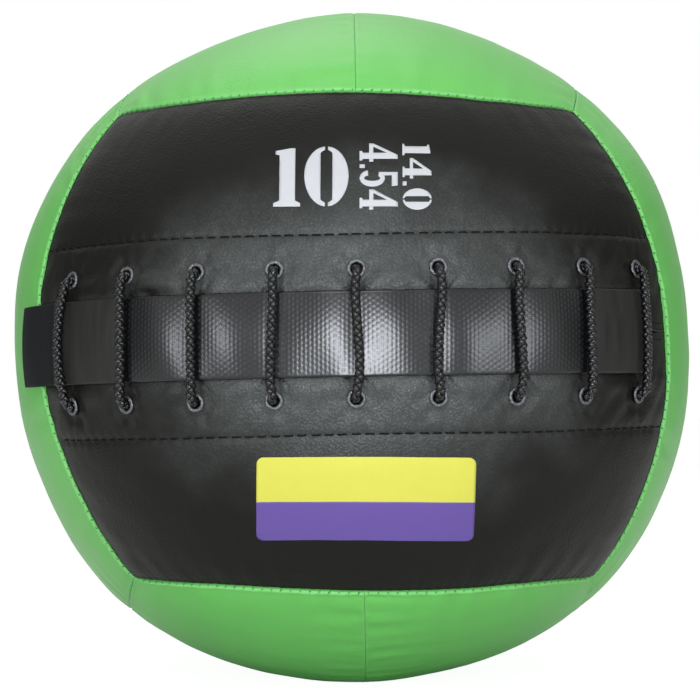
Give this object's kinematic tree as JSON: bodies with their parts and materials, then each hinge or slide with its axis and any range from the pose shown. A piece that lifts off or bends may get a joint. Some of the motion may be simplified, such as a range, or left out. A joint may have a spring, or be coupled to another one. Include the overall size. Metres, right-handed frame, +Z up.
{
  "type": "wall ball",
  "caption": "Soft stuffed exercise ball of sewn coated-fabric panels, with a laced slit under a cover strip across its front and a small flat where it rests.",
  "frame": {"origin": "centre of the ball's box, on the plane that the ball rests on", "axes": "+Z up, -Y towards the laced front, +X to the right for someone who faces the front"},
  "size_m": [0.3582, 0.3625, 0.3504],
  "materials": {
    "black_leather": "coated fabric, fine pebble grain, soft satin sheen",
    "green_leather": "coated fabric, fine pebble grain, satin",
    "cover_vinyl": "embossed vinyl, glossy",
    "braided_nylon": "braided, matt",
    "enamelled_brass": "black enamel on pressed brass, glossy",
    "green_thread": "twisted thread, matt",
    "black_thread": "twisted thread, matt",
    "facing_canvas": "plain weave, matt",
    "foam": "open cells, matt",
    "fibre_stuffing": "loose fibre, matt",
    "bag_canvas": "plain weave, matt",
    "sand": "loose grains, matt"
  },
  "bodies": {
    "root": {"back_panel": "black_leather", "back_seam_thread": "green_thread", "bottom_centre_thread": "green_thread", "bottom_left_panel": "green_leather", "bottom_left_thread": "green_thread", "bottom_right_panel": "green_leather", "bottom_right_thread": "green_thread", "cover_strip": "cover_vinyl", "foam_back": "foam", "foam_front": "foam", "front_lower_panel": "black_leather", "front_seam_thread": "green_thread", "front_upper_panel": "black_leather", "lace_knot_left": "braided_nylon", "lace_knot_right": "braided_nylon", "lacing_cord": "braided_nylon", "left_side_panel": "green_leather", "lower_eyelet_1": "enamelled_brass", "lower_eyelet_2": "enamelled_brass", "lower_eyelet_3": "enamelled_brass", "lower_eyelet_4": "enamelled_brass", "lower_eyelet_5": "enamelled_brass", "lower_eyelet_6": "enamelled_brass", "lower_eyelet_7": "enamelled_brass", "lower_eyelet_8": "enamelled_brass", "lower_eyelet_9": "enamelled_brass", "lower_facing": "facing_canvas", "lower_topstitch": "black_thread", "right_side_panel": "green_leather", "slit_bar_left": "black_thread", "slit_bar_right": "black_thread", "stuffing_back": "fibre_stuffing", "stuffing_front": "fibre_stuffing", "top_centre_thread": "green_thread", "top_left_panel": "green_leather", "top_left_thread": "green_thread", "top_right_panel": "green_leather", "top_right_thread": "green_thread", "upper_eyelet_1": "enamelled_brass", "upper_eyelet_2": "enamelled_brass", "upper_eyelet_3": "enamelled_brass", "upper_eyelet_4": "enamelled_brass", "upper_eyelet_5": "enamelled_brass", "upper_eyelet_6": "enamelled_brass", "upper_eyelet_7": "enamelled_brass", "upper_eyelet_8": "enamelled_brass", "upper_eyelet_9": "enamelled_brass", "upper_facing": "facing_canvas", "upper_topstitch": "black_thread", "weight_bag_back": "bag_canvas", "weight_bag_front": "bag_canvas", "weight_fill": "sand"}
  },
  "joints": []
}
